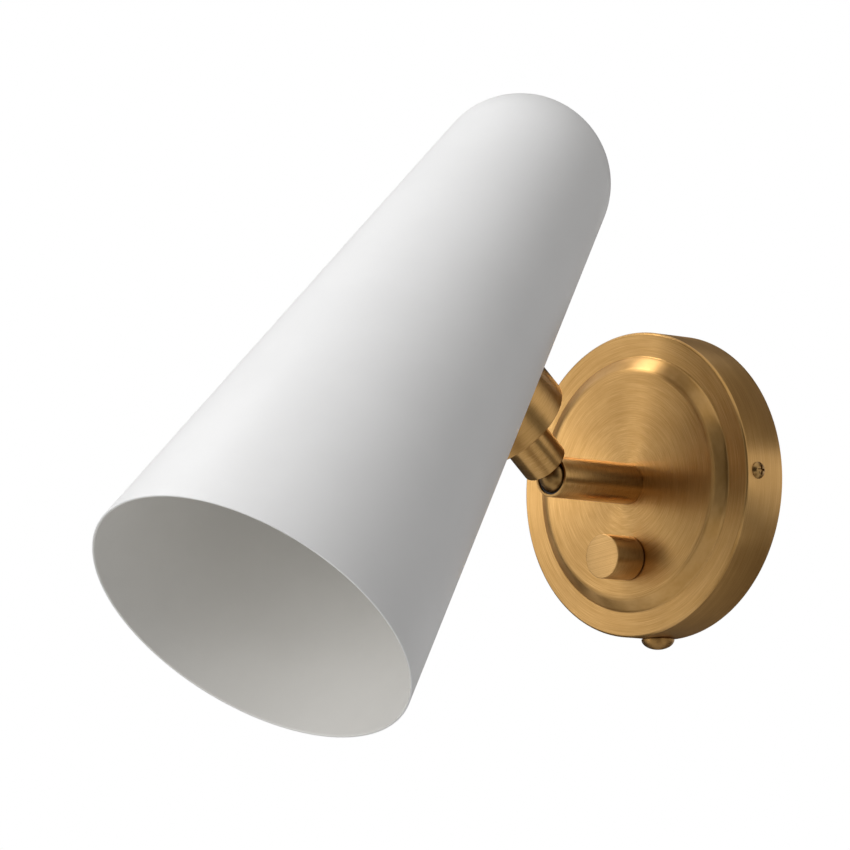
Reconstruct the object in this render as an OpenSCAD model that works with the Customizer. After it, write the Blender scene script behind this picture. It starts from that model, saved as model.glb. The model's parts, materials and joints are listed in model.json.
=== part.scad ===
/* [Wall canopy] */
// Outer diameter of the canopy
canopy_d = 120; // [112:1:140]
// Depth of the canopy's side wall, from the wall to the front flat
canopy_depth = 20.1; // [18.5:0.1:26]
// Thickness of the canopy's sheet metal
sheet_t = 1.5; // [1:0.1:2]
// Bevel around the canopy's front edge
front_bevel = 0.7; // [0.3:0.1:1.2]
// Diameter at the foot of the raised disc
step_foot_d = 99.6; // [94:0.2:102]
// Diameter of the raised disc's flat face
step_top_d = 89.8; // [84:0.2:93]
// Height of the upright edge at the foot of the raised disc
step_riser = 0.5; // [0.4:0.1:1.4]
// Height of the raised disc above the front flat
disc_rise = 3.7; // [2.5:0.1:5]

/* [Wall bracket] */
// Thickness of the bracket's steel strip
bracket_t = 2.5; // [2:0.1:3]
// Length of the bracket's wide middle
bracket_mid = 98; // [96:1:108]
// Width of the bracket's ears
ear_w = 12; // [9:0.5:16]
// Width of the bracket's strip
bracket_w = 26; // [22:0.5:30]
// Gap between the bracket's ears and the canopy's side wall
ear_gap = 0.3; // [0.2:0.05:0.6]
// Diameter of the wire hole in the middle of the bracket
wire_hole_d = 18; // [12:0.5:18]
// Spacing of the two wall box screws, at the middle of their slots
box_screw_spacing = 79; // [74:0.5:84]
// Width of a slot for a wall box screw
slot_w = 4.5; // [4:0.1:5]
// Length that a wall box screw can shift along its slot
slot_travel = 9.5; // [6:0.5:14]
// Distance of the side screws from the wall
side_screw_h = 14; // [12:0.5:15.5]
// Height of the side screws above the canopy's axis
side_screw_up = 1.2; // [0:0.1:3]
// Thread diameter of the side screws
side_screw_d = 4; // [3:0.1:5]
// Head diameter of the side screws
side_head_d = 6.6; // [6:0.1:9]
// Head height of the side screws
side_head_h = 1.9; // [1.4:0.1:2.4]
// Length of the side screws under the head
side_screw_len = 9; // [7:0.5:12]
// Thread diameter of the ground screw
ground_screw_d = 3.5; // [3:0.1:4]

/* [Cord port] */
// Diameter of the cord port in the canopy's side wall
port_d = 10; // [7:0.1:11]
// Distance of the cord port from the wall
port_h = 7.6; // [7.2:0.1:9]
// Head diameter of the port's plug
plug_head_d = 13.2; // [11.5:0.1:13.8]
// Head height of the port's plug
plug_head_h = 4.3; // [3:0.1:6]

/* [Arm] */
// Outer diameter of the arm's tube
arm_d = 16.2; // [15.6:0.1:19]
// Wall thickness of the arm's tube
arm_wall = 0.8; // [0.6:0.05:1]
// Distance of the arm's mouth from the wall
arm_mouth_h = 67; // [62:0.5:90]
// How far the tube's lip turns in at the mouth
lip_in = 0.25; // [0.1:0.05:0.3]
// Length of the tube's lip
lip_len = 0.6; // [0.4:0.1:1]
// Length of the threaded foot inside the tube
foot_len = 12; // [8:0.5:14]
// Outer diameter of the threaded nipples
nipple_d = 10; // [9.4:0.1:10.4]
// Bore of the threaded nipples
nipple_bore = 7.2; // [5.6:0.1:7.6]
// Width across flats of the nuts on the nipples
nut_af = 14; // [13:0.2:16]
// Thickness of the nuts on the nipples
nut_t = 4; // [3:0.2:5]
// Thickness of the washers under those nuts
washer_t = 1; // [0.6:0.1:1.6]

/* [Ball joint] */
// Diameter of the ball
ball_d = 12.6; // [12:0.1:12.8]
// Depth of the ball's centre behind the arm's mouth
ball_depth = 2.6; // [2.4:0.1:2.8]
// Diameter of the stud's neck
neck_d = 6; // [5.2:0.1:6.2]
// Bore for the leads through the stud
stud_bore = 3.8; // [3.6:0.1:4]
// Diameter of the stud's threaded end
stud_thread_d = 8; // [7:0.1:9]
// Length of the stud's threaded end
stud_thread_len = 10; // [8:0.5:11]
// Running clearance between the ball, its liner and the tube
run_gap = 0.04; // [0.02:0.01:0.08]
// Depth of the liner's lip ahead of the ball's centre
liner_lip = 1.6; // [1.4:0.1:1.7]
// Length of the liner behind the ball's centre
liner_back = 6.4; // [6:0.1:8]
// Bore of the liner, the springs and the stop plug
seat_bore = 9.2; // [8.4:0.1:9.6]
// Thickness of a disc spring
spring_t = 0.5; // [0.4:0.05:0.7]
// Cone height of a disc spring
spring_cone = 0.35; // [0.2:0.05:0.5]
// Length of the stop plug behind the springs
stop_len = 4; // [3:0.5:6]

/* [Knuckle] */
// Angle of the neck above the arm's axis as photographed
neck_tilt = 39.1; // [20:0.1:42]
// Distance of the sleeve's open end from the ball's centre
sleeve_start = 7.6; // [7.4:0.1:8.4]
// Outer diameter of the sleeve
sleeve_d = 18.6; // [18:0.1:22]
// Diameter of the clearance hollow in the sleeve's open end
sleeve_hollow_d = 16.6; // [16:0.1:17]
// Distance of that hollow's floor from the ball's centre
sleeve_floor = 9.6; // [9.4:0.1:10.4]
// Depth of the cup on the neck's axis, from the shade to the outside of its floor
cup_depth = 9.3; // [7:0.1:11]
// Outer diameter of the cup
cup_d = 46; // [38:0.2:50]
// Wall thickness of the cup
cup_wall = 1.2; // [0.8:0.1:2]
// Thickness of the cup's floor
cup_floor_t = 1.5; // [1:0.1:2.5]
// Thread diameter of the set screws
set_screw_d = 3; // [2.5:0.1:4]

/* [Shade] */
// Distance of the shade's axis from the ball's centre
shade_offset = 85.1; // [82:0.1:92]
// Radius of the shade's round end
dome_r = 35; // [33:0.1:38]
// Distance of the round end's centre from the neck's axis
dome_up = 76.2; // [70:0.2:90]
// Radius of the shade's opening
open_r = 66.2; // [62:0.2:72]
// Distance of the opening from the neck's axis
open_down = 151.2; // [130:0.2:160]
// Wall thickness of the shade
shade_t = 1.1; // [0.8:0.1:1.6]

/* [Lampholder] */
// Distance of the saddle's flat face from the outside of the shade
saddle_h = 7.3; // [6.4:0.1:9]
// Diameter of the saddle
saddle_d = 22; // [18:0.5:26]
// Thickness of the lampholder's bracket
strip_t = 1.5; // [1.2:0.1:2]
// Width of the lampholder's bracket
strip_w = 16; // [15:0.5:17]
// Distance of the bracket's upright from the neck's axis
upright_y = 30; // [26:0.5:31]
// Length of the lampholder's cap
cap_len = 14; // [12:0.5:18]
// Outer diameter of the lampholder's cap
cap_d = 33.6; // [33:0.1:34.4]
// Outer diameter of the lampholder's body
holder_d = 35; // [34.4:0.1:38]
// Length of the lampholder's body
holder_len = 38; // [34:0.5:44]
// Wall thickness of the lampholder's body
holder_wall = 2.4; // [1.8:0.1:2.6]
// Bore of the screw shell
shell_bore = 26.3; // [25.6:0.1:26.6]
// Thickness of the screw shell
shell_t = 0.5; // [0.4:0.05:0.7]
// Length of the screw shell
shell_len = 27; // [22:0.5:29]
// Depth of the hollow in the lampholder's cap
cap_recess = 6; // [4:0.5:8]
// Length of the narrow end of the screw shell
shell_end_len = 5; // [3.5:0.5:8]
// Pitch of the screw shell's rounded thread
shell_pitch = 3.6; // [3.4:0.1:4]
// Thickness of the disc that insulates the centre contact
insulator_t = 3; // [2:0.5:4]

/* [Dimmer] */
// Distance of the dimmer's axis below the arm's axis
dimmer_down = 29.3; // [28:0.1:31]
// Width and height of the dimmer's housing
dimmer_w = 22; // [18:0.5:24]
// Depth of the dimmer's housing
dimmer_depth = 14; // [10:0.5:15]
// Diameter of the dimmer's threaded bushing
bushing_d = 7; // [6.8:0.1:8]
// Length of the dimmer's threaded bushing in front of its housing
bushing_len = 5.2; // [4.8:0.1:5.6]
// Thickness of the washer under the bushing's nut
bushing_washer_t = 0.5; // [0.4:0.1:0.8]
// Thickness of the bushing's nut
bushing_nut_t = 2; // [1.6:0.1:2.4]
// Width across flats of the bushing's nut
bushing_nut_af = 10; // [9.6:0.1:11]
// Diameter of the dimmer's shaft
shaft_d = 6; // [5.4:0.1:6.2]
// Length of the shaft in front of the canopy
shaft_len = 12; // [9:0.5:13]
// Diameter of the knob
knob_d = 17.3; // [16.4:0.1:21]
// Length of the knob
knob_len = 14.6; // [14.2:0.1:20]
// Gap between the knob and the canopy
knob_gap = 0.4; // [0.3:0.1:0.8]
// Diameter of the hollow in the back of the knob
knob_hollow_d = 14; // [13.6:0.1:14.6]
// Depth of the hollow in the back of the knob
knob_hollow = 3.8; // [3.4:0.1:5]

/* [Wiring] */
// Outer diameter of the insulated leads
lead_d = 1.7; // [1.4:0.1:1.7]
// Diameter of a wire connector at its open end
connector_d = 10; // [8:0.5:12]
// Length of a wire connector
connector_len = 18; // [14:1:22]

/* [Hidden] */
$fn = 96;

// Radii that follow from the diameters above
canopy_r = canopy_d / 2;
arm_r = arm_d / 2;
arm_bore_r = arm_r - arm_wall;
ball_r = ball_d / 2;
neck_r = neck_d / 2;
sleeve_r = sleeve_d / 2;
cup_r = cup_d / 2;
nipple_r = nipple_d / 2;
nipple_bore_r = nipple_bore / 2;
knob_r = knob_d / 2;
holder_r = holder_d / 2;

// Small clearances: threads and pressed pieces, drilled holes, faces of pieces that move
fit_gap = 0.02;
hole_gap = 0.2;
face_gap = 0.1;

// Heights above the wall
disc_h = canopy_depth + disc_rise;
disc_back_h = disc_h - sheet_t;
pivot_h = arm_mouth_h - ball_depth;
liner_back_h = pivot_h - liner_back;
spring_count = 3;
spring_stack = spring_count * (spring_t + spring_cone + fit_gap);
spring_back_h = liner_back_h - face_gap - spring_stack;

// Wall bracket: the flat ears stand inside the canopy's round wall
ear_out = sqrt((canopy_r - sheet_t - ear_gap) ^ 2 - (ear_w / 2) ^ 2);
ear_h = side_screw_h + side_screw_d;
ground_x = 20;
ground_head_r = 3.5;
ground_head_h = 2.2;

// The shade's cone touches its round end along a circle
shade_len = dome_up + open_down;
cone_angle = atan2(open_r, shade_len) + acos(dome_r / norm([shade_len, open_r])) - 90;
tangent_up = dome_up + dome_r * sin(cone_angle);
tangent_r = dome_r * cos(cone_angle);
shade_face = shade_offset - shade_r(0);
cup_floor = shade_face - cup_depth;
saddle_top = shade_face + saddle_h;
nipple_hole_r = nipple_r + hole_gap;

// Lampholder, measured along the shade's axis toward the round end
cap_low = upright_y - cap_len;
holder_low = cap_low - holder_len;
insulator_low = cap_low - insulator_t - 1;
shell_low = insulator_low - shell_len;
shell_out_r = shell_bore / 2 + shell_t;
saddle_washer_top = saddle_top + strip_t + washer_t;
cup_nipple_end = saddle_washer_top + nut_t + 1;
cap_web_low = cap_low + cap_recess;
rivet_r = 1.9;
shaft_in = 8;
lead_r = lead_d / 2;
lead_x = lead_r + 0.07;
lead_hole_up = 13.1;
lead_hole_z = saddle_top + lead_hole_up;
lead_hole_r = 4;
lead_bow = 6;

// Wire connectors lie above the bracket with their mouths toward the middle
connector_x = 24;
connector_y = 22;
connector_h = 11;
lead_in = 8;

// Leads behind the canopy: x, y up and distance from the wall
dimmer_top = dimmer_w / 2 - dimmer_down;
live_route = [[3, dimmer_top, 12], [3, -14, 12], [2.2, -6, 9.4], [1.2, -1.4, 10.8], [lead_x, 0, 15],
    [lead_x, 0, 22], [lead_x, 0, 34], [lead_x, 0, 46], [lead_x, 0, liner_back_h - 1]];
neutral_route = [[-connector_x - lead_in, connector_y, connector_h],
    [-connector_x, connector_y, connector_h], [-17, 19.5, 11], [-7, 8, 9.4], [-2, 1.6, 10.6],
    [-lead_x, 0, 15], [-lead_x, 0, 22], [-lead_x, 0, 34], [-lead_x, 0, 46], [-lead_x, 0, liner_back_h - 1]];
feed_route = [[8, dimmer_top, 12], [8, -14, 12], [14, -2, 9.6], [14, 12, 10], [18, 20, 11],
    [connector_x, connector_y, connector_h], [connector_x + lead_in, connector_y, connector_h]];
ground_route = [[16.3, 0, 3.7], [13, 1, 4.6], [8, 4, 8], [4, 8.4, 12], [1.5, 9.2, 16],
    [0, 9.3, disc_back_h - 0.4]];

// Leads in the head, in the frame of the neck
function head_route(x) = [[x, 0, 2.5], [x, 0, 18], [x, 0, 34], [x, 0, cup_nipple_end - 1],
    [x, 4, lead_hole_z - 0.9], [x, 14, lead_hole_z + 0.5], [x, upright_y, lead_hole_z],
    [x, 37.5, lead_hole_z + 3], [x, 42, 73], [x, 41, 82],
    [x, upright_y + lead_bow, shade_offset], [x, cap_web_low + 1, shade_offset]];

// Local frame with z away from the wall and y up
module from_wall(h = 0) {
    rotate([90, 0, 0]) translate([0, 0, h]) children();
}

// Local frame at the ball's centre with z along the neck and y toward the shade's round end
module at_neck(z = 0) {
    from_wall(pivot_h) rotate([-neck_tilt, 0, 0]) translate([0, 0, z]) children();
}

// Local frame on the shade's axis with z toward its round end and y toward the ball
module at_shade(z = 0) {
    at_neck(shade_offset) rotate([-90, 0, 0]) translate([0, 0, z]) children();
}

module ring(r_out, r_in, h) {
    difference() {
        cylinder(h = h, r = r_out);
        translate([0, 0, -1]) cylinder(h = h + 2, r = r_in);
    }
}

module hex_nut(af, r_in, h) {
    difference() {
        cylinder(h = h, r = af / sqrt(3), $fn = 6);
        translate([0, 0, -1]) cylinder(h = h + 2, r = r_in);
    }
}

// A split ring whose gap is cut on the slant
module lock_washer(r_in, h) {
    rim = 3;
    split = 0.8;
    difference() {
        ring(r_in + rim, r_in, h);
        translate([0, r_in + rim / 2, h / 2]) rotate([0, 20, 0])
            cube([split, 2 * rim, 4 * h], center = true);
    }
}

// A cross recess cut with two tapering bars
module cross_recess(w, depth) {
    bar = w / 4;
    for (a = [0, 90]) {
        rotate([0, 0, a]) translate([-w / 2, -bar / 2, -depth]) cube([w, bar, depth + 3]);
    }
}

// A pan head standing on z = 0 with its rim rounded
module pan_head(r, h) {
    dome = (r * r + h * h) / (2 * h);
    intersection() {
        cylinder(h = h, r = r);
        translate([0, 0, h * 1.12 - dome]) sphere(r = dome);
    }
}

module set_screw(len) {
    difference() {
        cylinder(h = len, r = set_screw_d / 2);
        translate([0, 0, len - 1.5]) cylinder(h = 3, r = set_screw_d / 4, $fn = 6);
    }
}

// Half a round outline from angle a0 to angle a1 about a centre on the axis
function arc(z, r, a0, a1, n = 24) =
    [for (i = [0:n]) let (a = a0 + (a1 - a0) * i / n) [r * cos(a), z + r * sin(a)]];

function shade_r(z, inset = 0) =
    tangent_r + (tangent_up - z) * tan(cone_angle) - inset / cos(cone_angle);

// Solid cone in line with the shade's wall, inset from its outside
module shade_cone(inset = 0) {
    translate([0, 0, -open_down])
        cylinder(h = open_down + tangent_up,
            r1 = shade_r(-open_down, inset), r2 = shade_r(tangent_up, inset));
}

// Local frame of the shade inside the frame of the neck
module neck_to_shade(z = 0) {
    translate([0, 0, shade_offset]) rotate([-90, 0, 0]) translate([0, 0, z]) children();
}

// Smooth curve through a route's points, and a carried normal for its rings
function unit(v) = v / norm(v);
function between(a, b, c, d, t) =
    0.5 * (2 * b + (c - a) * t + (2 * a - 5 * b + 4 * c - d) * t ^ 2 + (3 * b - a - 3 * c + d) * t ^ 3);
function route_curve(p, n = 3) = [
    for (i = [0:len(p) - 2], k = [0:n - 1])
        between(p[max(i - 1, 0)], p[i], p[i + 1], p[min(i + 2, len(p) - 1)], k / n),
    p[len(p) - 1]
];
function tangents(c) = [for (i = [0:len(c) - 1]) unit(c[min(i + 1, len(c) - 1)] - c[max(i - 1, 0)])];
function carried(t, v, i = 0, done = []) =
    i == len(t) ? done
    : let (n = unit(v - t[i] * (v * t[i]))) carried(t, n, i + 1, concat(done, [n]));

module lead(route, sides = 8) {
    c = route_curve(route);
    t = tangents(c);
    n = carried(t, [0.3, 0.9, 0.2]);
    rings = len(c);
    skin = [
        for (i = [0:rings - 1], k = [0:sides - 1])
            let (a = 360 * k / sides) c[i] + lead_r * (cos(a) * n[i] + sin(a) * cross(t[i], n[i]))
    ];
    walls = [
        for (i = [0:rings - 2], k = [0:sides - 1])
            let (j = (k + 1) % sides, low = i * sides, high = low + sides)
                [low + j, low + k, high + k, high + j]
    ];
    first = [for (k = [0:sides - 1]) k];
    last = [for (k = [0:sides - 1]) rings * sides - 1 - k];
    polyhedron(skin, concat(walls, [first, last]));
}

module canopy_shell() {
    in_r = canopy_r - sheet_t;
    corner = sheet_t * 0.41;
    color("burlywood") from_wall() difference() {
        rotate_extrude($fn = 192) polygon([
            [canopy_r, 0], [canopy_r, canopy_depth - front_bevel], [canopy_r - front_bevel, canopy_depth],
            [step_foot_d / 2, canopy_depth], [step_foot_d / 2, canopy_depth + step_riser],
            [step_top_d / 2, disc_h], [0, disc_h], [0, disc_back_h], [step_top_d / 2 - corner, disc_back_h],
            [step_foot_d / 2 - sheet_t, canopy_depth + step_riser - corner],
            [step_foot_d / 2 - sheet_t, canopy_depth - sheet_t], [in_r, canopy_depth - sheet_t], [in_r, 0]
        ]);
        translate([0, 0, disc_back_h - 1]) cylinder(h = sheet_t + 2, r = nipple_hole_r);
        translate([0, -dimmer_down, disc_back_h - 1])
            cylinder(h = sheet_t + 2, r = bushing_d / 2 + hole_gap);
        side_screw_places() translate([0, 0, -2 * sheet_t])
            cylinder(h = 3 * sheet_t, r = side_screw_d / 2 + hole_gap);
        port_place() translate([0, 0, -2 * sheet_t]) cylinder(h = 3 * sheet_t, r = port_d / 2);
    }
}

// Frames on the canopy's side wall with z outward, inside the frame from the wall
module side_screw_places() {
    for (side = [0, 180]) {
        translate([0, side_screw_up, side_screw_h]) rotate([0, 0, side])
            translate([canopy_r, 0, 0]) rotate([0, 90, 0]) children();
    }
}

module port_place() {
    translate([0, -canopy_r, port_h]) rotate([90, 0, 0]) children();
}

module wall_bracket() {
    slot_ends = [-slot_travel / 2, slot_travel / 2];
    color("lightsteelblue") from_wall() difference() {
        union() {
            translate([-bracket_mid / 2, -bracket_w / 2, 0]) cube([bracket_mid, bracket_w, bracket_t]);
            translate([-ear_out, -ear_w / 2, 0]) cube([2 * ear_out, ear_w, bracket_t]);
            for (side = [-1, 1]) {
                translate([side * (ear_out - bracket_t / 2), 0, ear_h / 2])
                    cube([bracket_t, ear_w, ear_h], center = true);
            }
        }
        translate([0, 0, -1]) cylinder(h = bracket_t + 2, r = wire_hole_d / 2);
        for (side = [-1, 1]) {
            translate([side * box_screw_spacing / 2, 0, -1]) {
                for (x = slot_ends) translate([x, 0, 0]) cylinder(h = bracket_t + 2, r = slot_w / 2);
                translate([-slot_travel / 2, -slot_w / 2, 0]) cube([slot_travel, slot_w, bracket_t + 2]);
            }
        }
        side_screw_places() translate([0, 0, ear_out - canopy_r - bracket_t - 1])
            cylinder(h = bracket_t + 2, r = side_screw_d / 2 + fit_gap);
        translate([ground_x, 0, -1]) cylinder(h = bracket_t + 2, r = ground_screw_d / 2 + fit_gap);
    }
}

module side_screws() {
    color("peru") from_wall() side_screw_places() {
        difference() {
            pan_head(side_head_d / 2, side_head_h);
            translate([0, 0, side_head_h]) cross_recess(side_head_d * 0.55, side_head_h * 0.6);
        }
        translate([0, 0, -side_screw_len]) cylinder(h = side_screw_len, r = side_screw_d / 2);
    }
}

module ground_screw() {
    color("seagreen") from_wall(bracket_t) translate([ground_x, 0, 0]) {
        difference() {
            pan_head(ground_head_r, ground_head_h);
            translate([-ground_head_r, -0.4, ground_head_h * 0.5])
                cube([2 * ground_head_r, 0.8, ground_head_h]);
        }
        translate([0, 0, 0.1 - bracket_t]) cylinder(h = bracket_t - 0.1, r = ground_screw_d / 2);
    }
}

// The head follows the canopy's round side, and a rim snaps in behind the sheet
module cord_port_plug() {
    shank_r = port_d / 2 - fit_gap;
    snap_rim = 0.35;
    snap_len = 1.2;
    snap_low = -sheet_t - 0.4 - snap_len;
    color("burlywood") from_wall() {
        difference() {
            port_place() translate([0, 0, -1]) pan_head(plug_head_d / 2, plug_head_h + 1);
            translate([0, 0, -1]) cylinder(h = canopy_depth, r = canopy_r + fit_gap, $fn = 192);
        }
        port_place() {
            translate([0, 0, snap_low]) cylinder(h = 1 - snap_low, r = shank_r);
            translate([0, 0, snap_low]) cylinder(h = snap_len, r1 = shank_r, r2 = shank_r + snap_rim);
        }
    }
}

module arm_tube() {
    color("burlywood") from_wall(disc_h) difference() {
        cylinder(h = arm_mouth_h - disc_h, r = arm_r);
        translate([0, 0, -1]) cylinder(h = arm_mouth_h - disc_h + 1 - lip_len, r = arm_bore_r);
        cylinder(h = arm_mouth_h, r = arm_bore_r - lip_in);
    }
}

module arm_foot() {
    color("darkkhaki") from_wall(disc_h) ring(arm_bore_r - fit_gap, nipple_r + fit_gap, foot_len);
}

module arm_nipple() {
    low = disc_back_h - washer_t - nut_t - 1;
    color("darkkhaki") from_wall(low) ring(nipple_r, nipple_bore_r, disc_h + foot_len - 0.5 - low);
}

module arm_lock_washer() {
    color("gainsboro") from_wall(disc_back_h - washer_t) lock_washer(nipple_hole_r, washer_t);
}

module arm_nut() {
    color("gainsboro") from_wall(disc_back_h - washer_t - nut_t) hex_nut(nut_af, nipple_r + fit_gap, nut_t);
}

module ball_stop_plug() {
    color("darkkhaki") from_wall(spring_back_h - stop_len) difference() {
        ring(arm_bore_r - fit_gap, seat_bore / 2, stop_len);
        translate([-arm_r, -0.8, -1]) cube([2 * arm_r, 1.6, 2]);
    }
}

// Three disc springs stacked edge to edge
module ball_disc_springs() {
    in_r = seat_bore / 2;
    out_r = arm_bore_r - 0.15;
    color("slategray") for (i = [0:spring_count - 1]) {
        low_in = i % 2 == 0 ? 0 : spring_cone;
        low_out = spring_cone - low_in;
        from_wall(spring_back_h + i * (spring_t + spring_cone + fit_gap)) rotate_extrude() polygon([
            [in_r, low_in], [out_r, low_out], [out_r, low_out + spring_t], [in_r, low_in + spring_t]
        ]);
    }
}

module ball_liner() {
    cup = ball_r + run_gap;
    lip_r = sqrt(cup ^ 2 - liner_lip ^ 2);
    front = ball_depth - lip_len - face_gap / 2;
    color("dimgray") from_wall(pivot_h) difference() {
        translate([0, 0, -liner_back]) cylinder(h = liner_back + front, r = arm_bore_r - run_gap);
        sphere(r = cup);
        translate([0, 0, -liner_back - 1]) cylinder(h = liner_back + 1, r = seat_bore / 2);
        translate([0, 0, liner_lip]) cylinder(h = 0.5, r1 = lip_r, r2 = lip_r + 0.5);
    }
}

module ball_stud() {
    color("burlywood") at_neck() difference() {
        union() {
            sphere(r = ball_r);
            cylinder(h = sleeve_floor, r = neck_r);
            translate([0, 0, sleeve_floor]) cylinder(h = stud_thread_len, r = stud_thread_d / 2);
        }
        translate([0, 0, -ball_r])
            cylinder(h = ball_r + sleeve_floor + stud_thread_len + 1, r = stud_bore / 2);
        translate([0, 0, -ball_r]) cylinder(h = ball_r - 1.5, r1 = ball_r * 0.75, r2 = stud_bore / 2);
    }
}

module knuckle_sleeve() {
    edge = 0.4;
    stud_end = sleeve_floor + stud_thread_len;
    stud_gap = 0.4;
    neck_web = 6;
    sleeve_wall = 2.8;
    color("burlywood") at_neck() difference() {
        rotate_extrude() polygon([
            [0, sleeve_start], [sleeve_r - edge, sleeve_start], [sleeve_r, sleeve_start + edge],
            [sleeve_r, cup_floor], [0, cup_floor]
        ]);
        translate([0, 0, sleeve_start - 1])
            cylinder(h = sleeve_floor - sleeve_start + 1, r = sleeve_hollow_d / 2);
        translate([0, 0, sleeve_start]) cylinder(h = cup_floor, r = stud_thread_d / 2 + fit_gap);
        translate([0, 0, stud_end + stud_gap])
            cylinder(h = cup_floor - neck_web - stud_end - stud_gap, r = sleeve_r - sleeve_wall);
        translate([0, 0, cup_floor - neck_web - 1]) cylinder(h = neck_web + 2, r = nipple_r + fit_gap);
        sleeve_screw_place() cylinder(h = sleeve_r, r = set_screw_d / 2 + fit_gap);
    }
}

// Frame of the sleeve's set screw, which points to the left
module sleeve_screw_place() {
    translate([0, 0, sleeve_floor + stud_thread_len / 2]) rotate([0, -90, 0])
        translate([0, 0, stud_thread_d / 2 + fit_gap]) children();
}

module sleeve_set_screw() {
    color("slategray") at_neck() sleeve_screw_place() set_screw(sleeve_r - stud_thread_d / 2 - 0.4);
}

module shade_cup() {
    edge = 0.6;
    tall = cup_r;
    color("burlywood") at_neck() difference() {
        translate([0, 0, cup_floor]) rotate_extrude() polygon([
            [0, 0], [cup_r - edge, 0], [cup_r, edge], [cup_r, tall], [0, tall]
        ]);
        translate([0, 0, cup_floor + cup_floor_t]) cylinder(h = tall, r = cup_r - cup_wall);
        translate([0, 0, cup_floor - 1]) cylinder(h = cup_floor_t + 2, r = nipple_hole_r);
        neck_to_shade() shade_cone(-face_gap);
    }
}

module cup_nipple() {
    in_sleeve = 5.5;
    low = cup_floor - in_sleeve;
    color("darkkhaki") at_neck(low) ring(nipple_r, nipple_bore_r, cup_nipple_end - low);
}

module shade() {
    color("whitesmoke") at_shade() difference() {
        rotate_extrude($fn = 192) polygon([
            [shade_r(-open_down), -open_down], [tangent_r, tangent_up],
            [tangent_r - shade_t / cos(cone_angle), tangent_up], [shade_r(-open_down, shade_t), -open_down]
        ]);
        rotate([-90, 0, 0]) translate([0, 0, dome_r]) cylinder(h = open_r, r = nipple_hole_r);
    }
}

// The spun round end butts against the cone where the two walls are in line
module shade_end() {
    in_r = dome_r - shade_t;
    color("whitesmoke") at_shade() rotate_extrude($fn = 192) polygon(concat(
        arc(dome_up, dome_r, cone_angle, 90),
        arc(dome_up, in_r, 90, asin((tangent_up - dome_up) / in_r))
    ));
}

module shade_saddle() {
    color("gainsboro") at_neck() difference() {
        intersection() {
            translate([0, 0, saddle_top - saddle_d / 2]) cylinder(h = saddle_d / 2, r = saddle_d / 2);
            neck_to_shade() shade_cone(shade_t + face_gap);
        }
        translate([0, 0, saddle_top - saddle_d]) cylinder(h = 2 * saddle_d, r = nipple_hole_r);
    }
}

module saddle_lock_washer() {
    color("gainsboro") at_neck(saddle_top + strip_t) lock_washer(nipple_hole_r, washer_t);
}

module saddle_nut() {
    color("gainsboro") at_neck(saddle_washer_top) hex_nut(nut_af, nipple_r + fit_gap, nut_t);
}

module lampholder_bracket() {
    foot_low = -saddle_d / 2;
    top = shade_offset + strip_w / 2 + 1;
    color("gainsboro") at_neck() difference() {
        union() {
            translate([-strip_w / 2, foot_low, saddle_top])
                cube([strip_w, upright_y + strip_t - foot_low, strip_t]);
            translate([-strip_w / 2, upright_y, saddle_top])
                cube([strip_w, strip_t, top - saddle_top]);
        }
        translate([0, 0, saddle_top - 1]) cylinder(h = strip_t + 2, r = nipple_hole_r);
        for (hole = [[shade_offset, nipple_hole_r], [lead_hole_z, lead_hole_r]]) {
            translate([0, upright_y - 1, hole[0]]) rotate([-90, 0, 0])
                cylinder(h = strip_t + 2, r = hole[1]);
        }
    }
}

module lampholder_nipple() {
    top = upright_y + strip_t + nut_t + 1;
    color("darkkhaki") at_shade(cap_web_low) ring(nipple_r, nipple_bore_r, top - cap_web_low);
}

module lampholder_nut() {
    color("gainsboro") at_shade(upright_y + strip_t) hex_nut(nut_af, nipple_r + fit_gap, nut_t);
}

module lampholder_cap() {
    color("darkslategray") at_shade(cap_low) difference() {
        cylinder(h = cap_len, r = cap_d / 2);
        translate([0, 0, -1]) cylinder(h = cap_web_low - cap_low + 1, r = cap_d / 2 - 3.6);
        translate([0, 0, -1]) cylinder(h = cap_len + 2, r = nipple_r + fit_gap);
    }
}

module lampholder_body() {
    color("darkslategray") at_shade(holder_low) ring(holder_r, holder_r - holder_wall, holder_len);
}

module shell_insulator() {
    color("linen") at_shade(insulator_low)
        ring(holder_r - holder_wall - fit_gap, rivet_r + fit_gap, insulator_t);
}

module screw_shell() {
    flange_t = 0.5;
    narrow = 2;
    wide_len = shell_len - shell_end_len;
    turns = floor((wide_len - 2) / shell_pitch);
    color("gold") at_shade(shell_low) difference() {
        union() {
            cylinder(h = wide_len + shell_t, r = shell_out_r);
            translate([0, 0, wide_len]) cylinder(h = shell_end_len, r = shell_out_r - narrow);
            translate([0, 0, shell_len - flange_t])
                cylinder(h = flange_t, r = holder_r - holder_wall - fit_gap);
            for (i = [1:turns]) {
                translate([0, 0, i * shell_pitch]) rotate_extrude()
                    translate([shell_out_r - 0.3, 0]) circle(r = 0.8);
            }
        }
        translate([0, 0, -1]) cylinder(h = wide_len + 1, r = shell_bore / 2);
        cylinder(h = shell_len + 1, r = shell_bore / 2 - narrow);
    }
}

// A riveted disc, and a tongue that bends toward the lamp
module centre_contact() {
    tongue_t = 0.6;
    tongue_len = 9;
    tongue_w = 5;
    tongue_tilt = 15;
    head_r = 4;
    color("gold") at_shade(insulator_low) {
        translate([0, 0, -tongue_t]) cylinder(h = tongue_t, r = head_r);
        translate([0, 0, -tongue_t]) cylinder(h = insulator_t + tongue_t + 0.8, r = rivet_r);
        translate([0, 0, -tongue_t / 2]) rotate([0, -tongue_tilt, 0])
            translate([-tongue_len, -tongue_w / 2, -tongue_t]) cube([tongue_len, tongue_w, tongue_t]);
    }
}

module dimmer_place(h) {
    from_wall(h) translate([0, -dimmer_down, 0]) children();
}

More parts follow.
